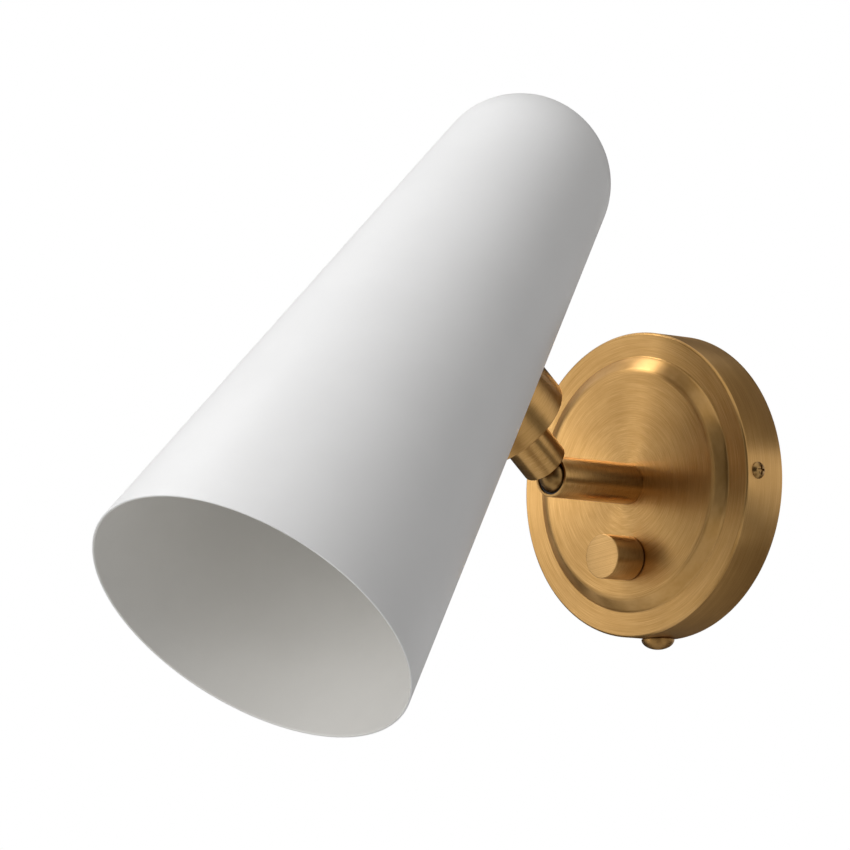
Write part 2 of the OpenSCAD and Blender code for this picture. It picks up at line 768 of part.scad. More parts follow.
module dimmer_body() {
    color("darkslategray") dimmer_place(disc_back_h) difference() {
        union() {
            translate([-dimmer_w / 2, -dimmer_w / 2, -dimmer_depth])
                cube([dimmer_w, dimmer_w, dimmer_depth]);
            cylinder(h = bushing_len, r = bushing_d / 2);
        }
        translate([0, 0, -shaft_in]) cylinder(h = shaft_in + bushing_len + 1, r = shaft_d / 2 + run_gap);
    }
}

module dimmer_washer() {
    washer_rim = 1;
    color("gainsboro") dimmer_place(disc_h)
        ring(bushing_nut_af / 2 + washer_rim, bushing_d / 2 + face_gap, bushing_washer_t);
}

module dimmer_nut() {
    color("gainsboro") dimmer_place(disc_h + bushing_washer_t)
        hex_nut(bushing_nut_af, bushing_d / 2 + fit_gap, bushing_nut_t);
}

module dimmer_shaft() {
    low = face_gap - shaft_in - sheet_t;
    color("darkkhaki") dimmer_place(disc_h + low) cylinder(h = shaft_len - low, r = shaft_d / 2);
}

module knob() {
    edge = 0.25;
    color("burlywood") knob_place() difference() {
        rotate_extrude() polygon([
            [0, 0], [knob_r - edge, 0], [knob_r, edge],
            [knob_r, knob_len - edge], [knob_r - edge, knob_len], [0, knob_len]
        ]);
        translate([0, 0, -1]) cylinder(h = knob_hollow + 1, r = knob_hollow_d / 2);
        translate([0, 0, -1]) cylinder(h = shaft_len - knob_gap + 1 + face_gap, r = shaft_d / 2 + fit_gap);
        knob_screw_place() cylinder(h = knob_r, r = set_screw_d / 2 + fit_gap);
    }
}

module knob_place() {
    dimmer_place(disc_h + knob_gap) children();
}

// Frame of the knob's set screw, which points to the left
module knob_screw_place() {
    mid = (knob_hollow + shaft_len - knob_gap) / 2;
    translate([0, 0, mid]) rotate([0, -90, 0]) translate([0, 0, shaft_d / 2 + fit_gap]) children();
}

module knob_set_screw() {
    below_skin = 0.5;
    color("slategray") knob_place() knob_screw_place() set_screw(knob_r - shaft_d / 2 - below_skin);
}

module supply_leads() {
    color("black") from_wall() lead(feed_route);
    color("green") from_wall() lead(ground_route);
}

module wire_connectors() {
    small_r = connector_d * 0.32;
    rib_t = 0.8;
    rib_rise = 0.3;
    rib_len = connector_len / 2;
    bore_len = connector_len * 0.6;
    color("orange") from_wall() for (side = [-1, 1]) {
        translate([side * connector_x, connector_y, connector_h]) rotate([0, side * 90, 0]) difference() {
            union() {
                cylinder(h = connector_len, r1 = connector_d / 2, r2 = small_r);
                for (a = [0:45:315]) {
                    rotate([0, 0, a]) translate([0, -rib_t / 2, 1])
                        cube([connector_d / 2 + rib_rise, rib_t, rib_len]);
                }
            }
            translate([0, 0, -1]) cylinder(h = bore_len, r = lead_r + rib_rise);
        }
    }
}

module arm_leads() {
    color("black") from_wall() lead(live_route);
    color("white") from_wall() lead(neutral_route);
}

module head_leads() {
    color("black") at_neck() lead(head_route(lead_x));
    color("white") at_neck() lead(head_route(-lead_x));
}

canopy_shell();
wall_bracket();
side_screws();
ground_screw();
cord_port_plug();
arm_tube();
arm_foot();
arm_nipple();
arm_lock_washer();
arm_nut();
ball_stop_plug();
ball_disc_springs();
ball_liner();
ball_stud();
knuckle_sleeve();
sleeve_set_screw();
shade_cup();
cup_nipple();
shade();
shade_end();
shade_saddle();
saddle_lock_washer();
saddle_nut();
lampholder_bracket();
lampholder_nipple();
lampholder_nut();
lampholder_cap();
lampholder_body();
shell_insulator();
screw_shell();
centre_contact();
dimmer_body();
dimmer_washer();
dimmer_nut();
dimmer_shaft();
knob();
knob_set_screw();
supply_leads();
wire_connectors();
arm_leads();
head_leads();
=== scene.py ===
import json
import math
import bmesh
import bpy
from mathutils import Matrix, Vector


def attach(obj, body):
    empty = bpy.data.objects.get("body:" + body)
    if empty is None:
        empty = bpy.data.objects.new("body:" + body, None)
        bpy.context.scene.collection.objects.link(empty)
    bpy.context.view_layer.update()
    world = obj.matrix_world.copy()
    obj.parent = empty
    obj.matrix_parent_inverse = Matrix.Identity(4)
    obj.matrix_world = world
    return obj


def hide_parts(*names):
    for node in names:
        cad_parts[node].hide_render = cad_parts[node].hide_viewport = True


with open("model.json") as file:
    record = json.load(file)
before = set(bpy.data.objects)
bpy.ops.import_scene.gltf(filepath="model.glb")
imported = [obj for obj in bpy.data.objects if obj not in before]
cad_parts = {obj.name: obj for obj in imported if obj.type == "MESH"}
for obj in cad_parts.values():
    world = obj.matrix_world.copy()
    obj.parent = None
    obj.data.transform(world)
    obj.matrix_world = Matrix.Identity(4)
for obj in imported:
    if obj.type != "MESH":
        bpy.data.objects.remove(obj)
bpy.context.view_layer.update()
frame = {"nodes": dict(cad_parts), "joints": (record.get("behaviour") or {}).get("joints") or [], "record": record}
mm = 0.001
fullTurn = 2 * math.pi
quarterTurn = math.pi / 2

# Places read from the frame: the pivot of the head, its neck, the knob and the lamp's socket
joints = {joint["name"]: joint for joint in frame["joints"]}
mounts = {mount["name"]: mount for mount in frame["record"]["mounts"]}
pivot = Vector(joints["head_tilt"]["pos_m"])
neckAxis = Vector(joints["head_twist"]["axis"]).normalized()
neckTilt = math.atan2(neckAxis.z, -neckAxis.y)
socketMouth = Vector(mounts["lamp_socket"]["pos_m"])


# z points away from the wall and y up
def wallFrame(out=0.0, up=0.0):
    return Matrix.Translation((0, -out, up)) @ Matrix.Rotation(quarterTurn, 4, "X")


# z points along the neck, and y toward the shade's round end
neckFrame = wallFrame(-pivot.y) @ Matrix.Rotation(-neckTilt, 4, "X")
shadeOffset = neckAxis.dot(socketMouth - pivot)
shadeFrame = neckFrame @ Matrix.Translation((0, 0, shadeOffset)) @ Matrix.Rotation(-quarterTurn, 4, "X")
knobFrame = wallFrame(0, joints["knob_turn"]["pos_m"][2])
print("frame loaded, neck tilt %.1f degrees" % math.degrees(neckTilt))


# Camera: the photograph's own view of the lamp, a long lens a little below it

cameraView = {
    "lens": 254.1, "sensor": 36.0, "distance": 2.4676, "clipEnd": 50.0,
    "azimuth": 45.36, "elevation": -6.62, "roll": -0.41,
    "aim": (-0.13693, 0.0, 0.03708),
}


def addCamera(view):
    azimuth = math.radians(view["azimuth"])
    elevation = math.radians(view["elevation"])
    roll = math.radians(view["roll"])
    back = Vector((math.sin(azimuth) * math.cos(elevation),
                   -math.cos(azimuth) * math.cos(elevation), math.sin(elevation)))
    right = (-back).cross(Vector((0, 0, 1))).normalized()
    up = right.cross(-back)
    rolledRight = right * math.cos(roll) + up * math.sin(roll)
    rolledUp = up * math.cos(roll) - right * math.sin(roll)
    cameraData = bpy.data.cameras.new("photoCamera")
    cameraData.lens = view["lens"]
    cameraData.sensor_width = view["sensor"]
    cameraData.clip_end = view["clipEnd"]
    camera = bpy.data.objects.new("photoCamera", cameraData)
    bpy.context.scene.collection.objects.link(camera)
    facing = Matrix((rolledRight, rolledUp, back)).transposed().to_4x4()
    camera.matrix_world = Matrix.Translation(Vector(view["aim"]) + back * view["distance"]) @ facing
    bpy.context.scene.camera = camera


addCamera(cameraView)
print("camera placed")


# Shader helpers

def addNode(tree, kind, values=None, **settings):
    made = tree.nodes.new(kind)
    for key, value in settings.items():
        setattr(made, key, value)
    for socket, value in (values or {}).items():
        if isinstance(value, bpy.types.NodeSocket):
            tree.links.new(value, made.inputs[socket])
        else:
            made.inputs[socket].default_value = value
    return made


def newGroup(name, inputs, outputs):
    group = bpy.data.node_groups.new(name, "ShaderNodeTree")
    for label, kind, value in inputs:
        socket = group.interface.new_socket(label, in_out="INPUT", socket_type=kind)
        if value is not None:
            socket.default_value = value
    for label, kind in outputs:
        group.interface.new_socket(label, in_out="OUTPUT", socket_type=kind)
    return group, group.nodes.new("NodeGroupInput").outputs, group.nodes.new("NodeGroupOutput")


def useGroup(tree, group, values):
    return addNode(tree, "ShaderNodeGroup", values, node_tree=group).outputs


def combine(tree, operation, first, second):
    return addNode(tree, "ShaderNodeMath", {0: first, 1: second}, operation=operation).outputs[0]


# Brushed lines: their number to the metre, how long they run, and the shares of the broad ones
turnedMarks = {"lines": 3200.0, "length": 2.4, "broadLines": 0.16, "broadLength": 0.55, "alongAxis": 1.6}
straightMarks = {"lines": 3200.0, "length": 60.0, "broadLines": 0.2}
lineNoise = {"Scale": 1.0, "Detail": 3.0, "Roughness": 0.6}
cloudNoise = {"Detail": 4.0, "Roughness": 0.55}
cloudRange = {"Scale": 40.0, "Low": 0.35, "High": 0.65}


def newLineGroup(name, look):
    return newGroup(name, [
        ("Vector", "NodeSocketVector", None), ("Lines", "NodeSocketFloat", look["lines"]),
        ("Length", "NodeSocketFloat", look["length"])],
        [("Fine", "NodeSocketFloat"), ("Broad", "NodeSocketFloat"), ("Height", "NodeSocketFloat")])


# Reads one noise at the places of the fine lines and one at those of the broad lines
def sendLines(group, out, finePlace, broadPlace):
    fine, broad = [addNode(group, "ShaderNodeTexNoise", {"Vector": place, **lineNoise}).outputs["Fac"]
                   for place in (finePlace, broadPlace)]
    height = combine(group, "ADD", fine, broad)
    for label, value in (("Fine", fine), ("Broad", broad), ("Height", height)):
        group.links.new(value, out.inputs[label])


# Fine lines that run round the local z axis, as a brush leaves them on a turning piece
def makeTurnedLines(look):
    group, given, out = newLineGroup("turnedLines", look)
    parts = addNode(group, "ShaderNodeSeparateXYZ", {0: given["Vector"]}).outputs
    flat = addNode(group, "ShaderNodeCombineXYZ", {0: parts[0], 1: parts[1]}).outputs[0]
    radius = addNode(group, "ShaderNodeVectorMath", {0: flat}, operation="LENGTH").outputs["Value"]
    around = addNode(group, "ShaderNodeVectorMath", {0: flat}, operation="NORMALIZE").outputs[0]
    aroundParts = addNode(group, "ShaderNodeSeparateXYZ", {0: around}).outputs
    slope = combine(group, "MULTIPLY", parts[2], look["alongAxis"])
    rows = combine(group, "MULTIPLY", combine(group, "ADD", radius, slope), given["Lines"])

    def linePlace(linesShare, lengthShare):
        length = combine(group, "MULTIPLY", given["Length"], lengthShare)
        return addNode(group, "ShaderNodeCombineXYZ", {
            0: combine(group, "MULTIPLY", aroundParts[0], length),
            1: combine(group, "MULTIPLY", aroundParts[1], length),
            2: combine(group, "MULTIPLY", rows, linesShare)}).outputs[0]

    sendLines(group, out, linePlace(1.0, 1.0), linePlace(look["broadLines"], look["broadLength"]))
    return group


# Straight lines along the local x axis, as a belt leaves them on a flat face
def makeStraightLines(look):
    group, given, out = newLineGroup("straightLines", look)
    parts = addNode(group, "ShaderNodeSeparateXYZ", {0: given["Vector"]}).outputs
    along = combine(group, "MULTIPLY", parts[0], given["Length"])
    rows = combine(group, "MULTIPLY", parts[1], given["Lines"])

    def linePlace(share):
        shared = combine(group, "MULTIPLY", rows, share)
        return addNode(group, "ShaderNodeCombineXYZ", {0: along, 1: shared}).outputs[0]

    sendLines(group, out, linePlace(1.0), linePlace(look["broadLines"]))
    return group


# Soft clouds, such as hand marks in the lacquer or a tint that isn't quite even
def makeClouds():
    values = [(label, "NodeSocketFloat", value) for label, value in cloudRange.items()]
    group, given, out = newGroup("clouds", [("Vector", "NodeSocketVector", None)] + values,
                                 [("Mask", "NodeSocketFloat")])
    noise = addNode(group, "ShaderNodeTexNoise", {
        "Vector": given["Vector"], "Scale": given["Scale"], **cloudNoise})
    spread = addNode(group, "ShaderNodeMapRange", {
        0: noise.outputs["Fac"], 1: given["Low"], 2: given["High"]}, interpolation_type="SMOOTHSTEP")
    group.links.new(spread.outputs[0], out.inputs["Mask"])
    return group


turnedLines = makeTurnedLines(turnedMarks)
straightLines = makeStraightLines(straightMarks)
clouds = makeClouds()


def newMaterial(name, shown):
    material = bpy.data.materials.new(name)
    material.use_nodes = True
    material.diffuse_color = (*shown, 1)
    tree = material.node_tree
    tree.nodes.clear()
    shader = tree.nodes.new("ShaderNodeBsdfPrincipled")
    output = tree.nodes.new("ShaderNodeOutputMaterial")
    tree.links.new(shader.outputs[0], output.inputs["Surface"])
    return material, tree, shader


def mixColours(tree, factor, first, second):
    first, second = [colour if isinstance(colour, bpy.types.NodeSocket) else (*colour, 1)
                     for colour in (first, second)]
    return addNode(tree, "ShaderNodeMix", {0: factor, 6: first, 7: second}, data_type="RGBA").outputs[2]


def mapValue(tree, value, low, high):
    return addNode(tree, "ShaderNodeMapRange", {0: value, 3: low, 4: high}).outputs[0]


def addBump(tree, shader, strength, depth, height):
    bump = addNode(tree, "ShaderNodeBump", {"Strength": strength, "Distance": depth, "Height": height})
    tree.links.new(bump.outputs[0], shader.inputs["Normal"])


def objectPoint(tree):
    return tree.nodes.new("ShaderNodeTexCoord").outputs["Object"]


# Object coordinates in the piece's own frame, so that lines run round its axis
def localPoint(tree, place):
    inverse = place.inverted()
    return addNode(tree, "ShaderNodeMapping", {
        "Vector": objectPoint(tree), "Location": inverse.to_translation(),
        "Rotation": inverse.to_euler()}).outputs[0]


# The direction across the brushed lines, in which a reflection spreads
def acrossLines(tree, place, straight):
    if straight:
        along = place.to_3x3() @ Vector((1, 0, 0))
        run = addNode(tree, "ShaderNodeCombineXYZ", dict(enumerate(along))).outputs[0]
    else:
        axis = place.to_3x3() @ Vector((0, 0, 1))
        offset = addNode(tree, "ShaderNodeVectorMath", {
            0: objectPoint(tree), 1: place.to_translation()}, operation="SUBTRACT").outputs[0]
        run = addNode(tree, "ShaderNodeVectorMath", {
            0: axis, 1: offset}, operation="CROSS_PRODUCT").outputs[0]
    turned = addNode(tree, "ShaderNodeVectorTransform", {0: run},
                     vector_type="VECTOR", convert_from="OBJECT", convert_to="WORLD").outputs[0]
    normal = tree.nodes.new("ShaderNodeNewGeometry").outputs["Normal"]
    return addNode(tree, "ShaderNodeVectorMath", {
        0: normal, 1: turned}, operation="CROSS_PRODUCT").outputs[0]


# Canopy: a spun cover with a raised disc, open at the back, and the places in its side

canopy = {
    "radius": 60.0, "depth": 20.1, "bevel": 0.7, "sheet": 1.5, "steps": 256, "roundSteps": 6,
    "stepFoot": 49.8, "stepTop": 44.9, "riser": 0.5, "disc": 23.8,
    "edgeRound": 0.3, "bevelRound": 0.25, "footRound": 0.6, "topRound": 1.4,
    "innerTop": 0.6, "innerRise": 0.3, "innerRounds": (0.5, 0.4, 0.3, 0.8),
    "screwHole": 2.2, "screwHeight": 14.0, "screwUp": 1.2, "port": 5.0, "portHeight": 7.6,
    "centreHole": 5.2, "dimmerHole": 3.7, "through": 4.5, "clearance": 1.0,
}


def sidePlace(c, side):
    turnSide = Matrix.Rotation(0 if side > 0 else math.pi, 4, "Z")
    return (wallFrame() @ Matrix.Translation((0, c["screwUp"] * mm, c["screwHeight"] * mm)) @ turnSide
            @ Matrix.Translation((c["radius"] * mm, 0, 0)) @ Matrix.Rotation(quarterTurn, 4, "Y"))


def portPlace(c):
    return (wallFrame() @ Matrix.Translation((0, -c["radius"] * mm, c["portHeight"] * mm))
            @ Matrix.Rotation(quarterTurn, 4, "X"))


# Materials

brass = {
    "light": (0.70, 0.432, 0.175), "dark": (0.36, 0.19, 0.05), "stain": (0.18, 0.09, 0.022),
    "roughness": 0.34, "roughnessSpread": 0.1, "anisotropy": 0.7,
    "lines": 4200.0, "length": 3.2, "bump": 0.16, "bumpDepth": 0.00002,
    "fineRange": (-0.2, 1.2), "broadRange": (-0.3, 0.6),
    "blotchScale": 55.0, "blotchFrom": 0.3, "blotchTo": 0.75, "blotchMost": 0.16,
}


def brushedBrass(name, place, straight=False, **changes):
    look = {**brass, **changes}
    material, tree, shader = newMaterial(name, look["light"])
    local = localPoint(tree, place)
    marks = useGroup(tree, straightLines if straight else turnedLines, {
        "Vector": local, "Lines": look["lines"], "Length": look["length"]})
    blotches = useGroup(tree, clouds, {
        "Vector": local, "Scale": look["blotchScale"],
        "Low": look["blotchFrom"], "High": look["blotchTo"]})["Mask"]
    fineShare = mapValue(tree, marks["Fine"], *look["fineRange"])
    broadShare = mapValue(tree, marks["Broad"], *look["broadRange"])
    colour = mixColours(tree, fineShare, look["dark"], look["light"])
    colour = mixColours(tree, broadShare, colour, look["dark"])
    colour = mixColours(tree, mapValue(tree, blotches, 0.0, look["blotchMost"]), colour, look["stain"])
    tree.links.new(colour, shader.inputs["Base Color"])
    smoothest = look["roughness"] - look["roughnessSpread"]
    roughest = look["roughness"] + look["roughnessSpread"]
    tree.links.new(mapValue(tree, marks["Fine"], smoothest, roughest), shader.inputs["Roughness"])
    addBump(tree, shader, look["bump"], look["bumpDepth"], marks["Height"])
    tree.links.new(acrossLines(tree, place, straight), shader.inputs["Tangent"])
    shader.inputs["Metallic"].default_value = 1.0
    shader.inputs["Anisotropic"].default_value = look["anisotropy"]
    return material


coat = {
    "skinScale": 900.0, "skinDepth": 0.00002, "gloss": 0.5, "tintScale": 30.0,
    "skinDetail": 2.0, "skinRoughness": 0.5, "roughnessSpread": 0.03, "bump": 0.3,
}


# Paint, moulded plastic and insulation: a colour, a gloss and a fine skin
def coated(name, colour, shade, roughness, **changes):
    look = {**coat, **changes}
    material, tree, shader = newMaterial(name, colour)
    local = objectPoint(tree)
    tint = useGroup(tree, clouds, {"Vector": local, "Scale": look["tintScale"]})["Mask"]
    skin = addNode(tree, "ShaderNodeTexNoise", {
        "Vector": local, "Scale": look["skinScale"], "Detail": look["skinDetail"],
        "Roughness": look["skinRoughness"]}).outputs["Fac"]
    tree.links.new(mixColours(tree, tint, colour, shade), shader.inputs["Base Color"])
    spread = look["roughnessSpread"]
    worn = mapValue(tree, tint, roughness - spread, roughness + spread)
    tree.links.new(worn, shader.inputs["Roughness"])
    addBump(tree, shader, look["bump"], look["skinDepth"], skin)
    shader.inputs["Specular IOR Level"].default_value = look["gloss"]
    return material


plating = {
    "spangle": 900.0, "markScale": 120.0, "markMost": 0.7, "smoother": 0.06, "rougher": 0.08,
    "bump": 0.12, "bumpDepth": 0.00002,
}


# Plated or oiled steel and machined brass: spangled metal with handling marks
def platedMetal(name, colour, shade, roughness):
    material, tree, shader = newMaterial(name, colour)
    local = objectPoint(tree)
    grain = addNode(tree, "ShaderNodeTexVoronoi", {
        "Vector": local, "Scale": plating["spangle"]}).outputs["Color"]
    level = addNode(tree, "ShaderNodeSeparateColor", {0: grain}).outputs[0]
    marks = useGroup(tree, clouds, {"Vector": local, "Scale": plating["markScale"]})["Mask"]
    marked = mapValue(tree, marks, 0.0, plating["markMost"])
    tree.links.new(mixColours(tree, marked, colour, shade), shader.inputs["Base Color"])
    worn = mapValue(tree, level, roughness - plating["smoother"], roughness + plating["rougher"])
    tree.links.new(worn, shader.inputs["Roughness"])
    addBump(tree, shader, plating["bump"], plating["bumpDepth"], level)
    shader.inputs["Metallic"].default_value = 1.0
    return material


canopyBrass = brushedBrass("canopyBrass", wallFrame())
# The arm's brass is a lighter copy of the canopy's: painted light for the bright band along the arm's top.
armBrass = brushedBrass("armBrass", wallFrame(), light=(0.76, 0.47, 0.19), roughness=0.31,
                        anisotropy=0.5, bump=0.03)
knobBrass = brushedBrass("knobBrass", knobFrame)
faceTurn = Matrix.Rotation(math.radians(8), 4, "Z")  # the belt's lines on the knob run a little uphill
# The knob's face takes a lighter copy of the brass than its side: painted light on the face.
litKnobFaceBrass = brushedBrass("litKnobFaceBrass", knobFrame @ faceTurn, straight=True,
                             light=(0.92, 0.585, 0.255), anisotropy=0.2)
neckBrass = brushedBrass("neckBrass", neckFrame, roughness=0.32, bump=0.06)
# The ball's brass is a darker copy: painted shade for the ball's place under the sleeve.
ballBrass = brushedBrass("ballBrass", neckFrame, light=(0.44, 0.27, 0.105), dark=(0.26, 0.145, 0.045))
smallBrass = platedMetal("smallBrass", (0.36, 0.215, 0.08), (0.26, 0.15, 0.05), 0.32)
# The port plug's brass is a darker copy: painted shade for the plug's downward-facing place at the canopy's foot.
plugBrass = brushedBrass("plugBrass", portPlace(canopy), light=(0.42, 0.245, 0.088),
                         dark=(0.32, 0.175, 0.055), roughness=0.46, bump=0.05)
plainBrass = platedMetal("plainBrass", (0.80, 0.60, 0.28), (0.62, 0.43, 0.18), 0.28)
zincSteel = platedMetal("zincSteel", (0.70, 0.71, 0.72), (0.50, 0.51, 0.53), 0.34)
greenZinc = platedMetal("greenZinc", (0.05, 0.30, 0.13), (0.03, 0.18, 0.08), 0.36)
springSteel = platedMetal("springSteel", (0.33, 0.33, 0.34), (0.17, 0.17, 0.18), 0.3)
whitePaint = coated("whitePaint", (0.86, 0.86, 0.86), (0.845, 0.845, 0.845), 0.5, skinScale=1600.0,
                    gloss=0.2)
# The inside wall takes a darker, warmer copy of the white paint: painted shade inside the cone.
shadedInsidePaint = coated("shadedInsidePaint", (0.80, 0.785, 0.75), (0.78, 0.765, 0.73), 0.55, skinScale=1600.0)
blackNylon = coated("blackNylon", (0.020, 0.020, 0.020), (0.028, 0.028, 0.028), 0.4)
blackPhenolic = coated("blackPhenolic", (0.018, 0.017, 0.016), (0.030, 0.028, 0.026), 0.3,
                       skinScale=700.0, skinDepth=0.00003)
insulatorBoard = coated("insulatorBoard", (0.78, 0.74, 0.64), (0.70, 0.66, 0.56), 0.7,
                        skinScale=1200.0, skinDepth=0.00006)
connectorPlastic = coated("connectorPlastic", (0.75, 0.20, 0.03), (0.66, 0.16, 0.025), 0.42,
                          skinScale=800.0, skinDepth=0.00003)
blackInsulation = coated("blackInsulation", (0.022, 0.022, 0.022), (0.035, 0.035, 0.035), 0.5)
whiteInsulation = coated("whiteInsulation", (0.78, 0.77, 0.73), (0.70, 0.69, 0.65), 0.5)
greenInsulation = coated("greenInsulation", (0.03, 0.26, 0.07), (0.025, 0.20, 0.06), 0.5)
print("materials made:", len(bpy.data.materials))


# Mesh helpers: how near two points count as one, and how flat two faces count as one

meshing = {"turnedWeld": 0.001, "copiedWeld": 0.002, "flatAngle": 0.5}


# An outline of (radius, height) or (radius, height, rounding) points, turned round the z axis
def turn(outline, steps=128, segments=4):
    bm = bmesh.new()
    corners = [bm.verts.new((point[0] * mm, 0, point[1] * mm)) for point in outline]
    for start, end in zip(corners, corners[1:] + corners[:1]):
        if start.co.x > 0 or end.co.x > 0:
            bm.edges.new((start, end))
    for corner, point in zip(corners, outline):
        if len(point) > 2:
            bmesh.ops.bevel(bm, geom=[corner], offset=point[2] * mm, offset_type="OFFSET",
                            affect="VERTICES", segments=segments, profile=0.5, material=-1)
    bmesh.ops.spin(bm, geom=bm.verts[:] + bm.edges[:], axis=(0, 0, 1), cent=(0, 0, 0),
                   angle=fullTurn, steps=steps, use_merge=True)
    bmesh.ops.remove_doubles(bm, verts=bm.verts[:], dist=meshing["turnedWeld"] * mm)
    bmesh.ops.recalc_face_normals(bm, faces=bm.faces[:])
    return bm


# Points of a round stretch about a centre on the axis, from one angle to another
def arcPoints(centre, radius, start, end, count=16):
    angles = [math.radians(start + (end - start) * step / count) for step in range(count + 1)]
    return [(max(radius * math.cos(a), 0), centre + radius * math.sin(a)) for a in angles]


def smoothShading(mesh, sharp):
    mesh.shade_smooth()
    mesh.set_sharp_from_angle(angle=math.radians(sharp))


def toObject(bm, name, place=None, sharp=32):
    if place is not None:
        bm.transform(place)
    mesh = bpy.data.meshes.new(name)
    bm.to_mesh(mesh)
    bm.free()
    smoothShading(mesh, sharp)
    piece = bpy.data.objects.new(name, mesh)
    bpy.context.scene.collection.objects.link(piece)
    return piece


bodyOf = {node: body for body, nodes in frame["record"]["behaviour"]["bodies"].items() for node in nodes}


# Gives a piece its materials and the body of the nodes that it stands for, and hides those nodes
def settle(piece, materials, *nodes):
    for material in materials:
        piece.data.materials.append(material)
    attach(piece, bodyOf[nodes[0]])
    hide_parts(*nodes)
    return piece


# Cuts tool meshes out of a piece, and leaves the result as the piece's own mesh
def cutAway(piece, tools, sharp=32):
    for tool in tools:
        cutter = toObject(tool, "cutter")
        boolean = piece.modifiers.new("cut", "BOOLEAN")
        boolean.object = cutter
        boolean.operation = "DIFFERENCE"
        boolean.solver = "EXACT"
        shaped = piece.evaluated_get(bpy.context.evaluated_depsgraph_get())
        mesh = bpy.data.meshes.new_from_object(shaped)
        piece.modifiers.clear()
        piece.data = mesh
        bpy.data.objects.remove(cutter)
    smoothShading(piece.data, sharp)


def addBevel(piece, width, segments=2, angle=35):
    bevel = piece.modifiers.new("bevel", "BEVEL")
    bevel.width = width * mm
    bevel.segments = segments
    bevel.limit_method = "ANGLE"
    bevel.angle_limit = math.radians(angle)
    bevel.harden_normals = True


# A merged copy of a CAD node, for pieces whose shape is right as it is
def copyNode(node, flatten=True):
    bm = bmesh.new()
    bm.from_mesh(frame["nodes"][node].data)
    bmesh.ops.remove_doubles(bm, verts=bm.verts[:], dist=meshing["copiedWeld"] * mm)
    if flatten:
        flatAngle = math.radians(meshing["flatAngle"])
        bmesh.ops.dissolve_limit(bm, angle_limit=flatAngle, verts=bm.verts[:], edges=bm.edges[:])
    return bm


# A drill that is a plain cylinder from z = 0
def drill(place, radius, length, steps=64):
    bm = turn([(0, 0), (radius, 0), (radius, length), (0, length)], steps)
    bm.transform(place)
    return bm


# Canopy: the spun cover itself

def makeCanopy(c):
    inner = c["radius"] - c["sheet"]
    back = c["disc"] - c["sheet"]
    stepInner = c["stepFoot"] - c["sheet"]
    rimInner = c["depth"] - c["sheet"]
    backRound, riseRound, stepRound, cornerRound = c["innerRounds"]
    bm = turn([
        (c["radius"], 0, c["edgeRound"]), (c["radius"], c["depth"] - c["bevel"], c["bevelRound"]),
        (c["radius"] - c["bevel"], c["depth"], c["bevelRound"]),
        (c["stepFoot"] + c["riser"], c["depth"], c["edgeRound"]),
        (c["stepFoot"], c["depth"] + c["riser"], c["footRound"]),
        (c["stepTop"], c["disc"], c["topRound"]), (0, c["disc"]),
        (0, back), (c["stepTop"] - c["innerTop"], back, backRound),
        (stepInner, c["depth"] + c["innerRise"], riseRound),
        (stepInner, rimInner, stepRound), (inner, rimInner, cornerRound), (inner, 0, c["edgeRound"]),
    ], c["steps"], segments=c["roundSteps"])
    piece = toObject(bm, "canopyShell", wallFrame())
    through = c["through"]
    inward = Matrix.Translation((0, 0, -through * mm))
    behindDisc = (back - c["clearance"]) * mm
    cutAway(piece, [
        drill(sidePlace(c, 1) @ inward, c["screwHole"], 2 * through),
        drill(sidePlace(c, -1) @ inward, c["screwHole"], 2 * through),
        drill(portPlace(c) @ inward, c["port"], 2 * through),
        drill(wallFrame(behindDisc), c["centreHole"], through),
        drill(knobFrame @ Matrix.Translation((0, 0, behindDisc)), c["dimmerHole"], through),
    ], sharp=50)
    settle(piece, [canopyBrass], "canopy_shell")


makeCanopy(canopy)
print("canopy made")


# Arm: a drawn tube with a lip turned in at its mouth

arm = {
    "radius": 8.1, "wall": 0.8, "foot": 23.8, "mouth": 67.0, "lip": 0.25, "lipLength": 0.6,
    "footRound": 0.12, "mouthRound": 0.3, "lipRound": 0.15,
}


def makeArm(a):
    bore = a["radius"] - a["wall"]
    lipFoot = a["mouth"] - a["lipLength"]
    bm = turn([
        (a["radius"], a["foot"], a["footRound"]), (a["radius"], a["mouth"], a["mouthRound"]),
        (bore - a["lip"], a["mouth"], a["lipRound"]),
        (bore - a["lip"], lipFoot), (bore, lipFoot), (bore, a["foot"]),
    ])
    settle(toObject(bm, "armTube", wallFrame()), [armBrass], "arm_tube")


makeArm(arm)


# Knuckle: the ball stud, and the sleeve and cup that it carries, in the frame of the neck

knuckle = {
    "ball": 6.3, "ballSteps": 28, "studSteps": 96, "neck": 3.0,
    "bore": 1.9, "flare": -51.5, "flareEnd": -1.5,
    "thread": 4.0, "threadEnd": 19.6, "threadRound": 0.5, "boreRound": 0.2, "floor": 9.6,
    "sleeve": 9.3, "sleeveStart": 7.6, "hollow": 8.3, "cavity": 6.5, "cavityStart": 20.0,
    "web": 6.0, "nippleBore": 5.02, "screwBore": 1.52, "threadGap": 0.02, "edge": 0.4, "innerRound": 0.3,
    "cupFloor": 30.13, "cup": 23.0, "cupWall": 1.2, "cupSheet": 1.5, "cupEdge": 0.6, "cupHole": 5.2,
    "cupRound": 0.5, "cupBevel": 0.12, "cupSteps": 192, "coneReach": 40.0,
}


def makeStud(k):
    neckStart = math.degrees(math.acos(k["neck"] / k["ball"]))
    bm = turn([(k["bore"], k["flareEnd"])]
              + arcPoints(0, k["ball"], k["flare"], neckStart, k["ballSteps"])
              + [(k["neck"], k["floor"]), (k["thread"], k["floor"], k["innerRound"]),
                 (k["thread"], k["threadEnd"], k["threadRound"]),
                 (k["bore"], k["threadEnd"], k["boreRound"])], k["studSteps"])
    settle(toObject(bm, "ballStud", neckFrame), [ballBrass], "ball_stud")


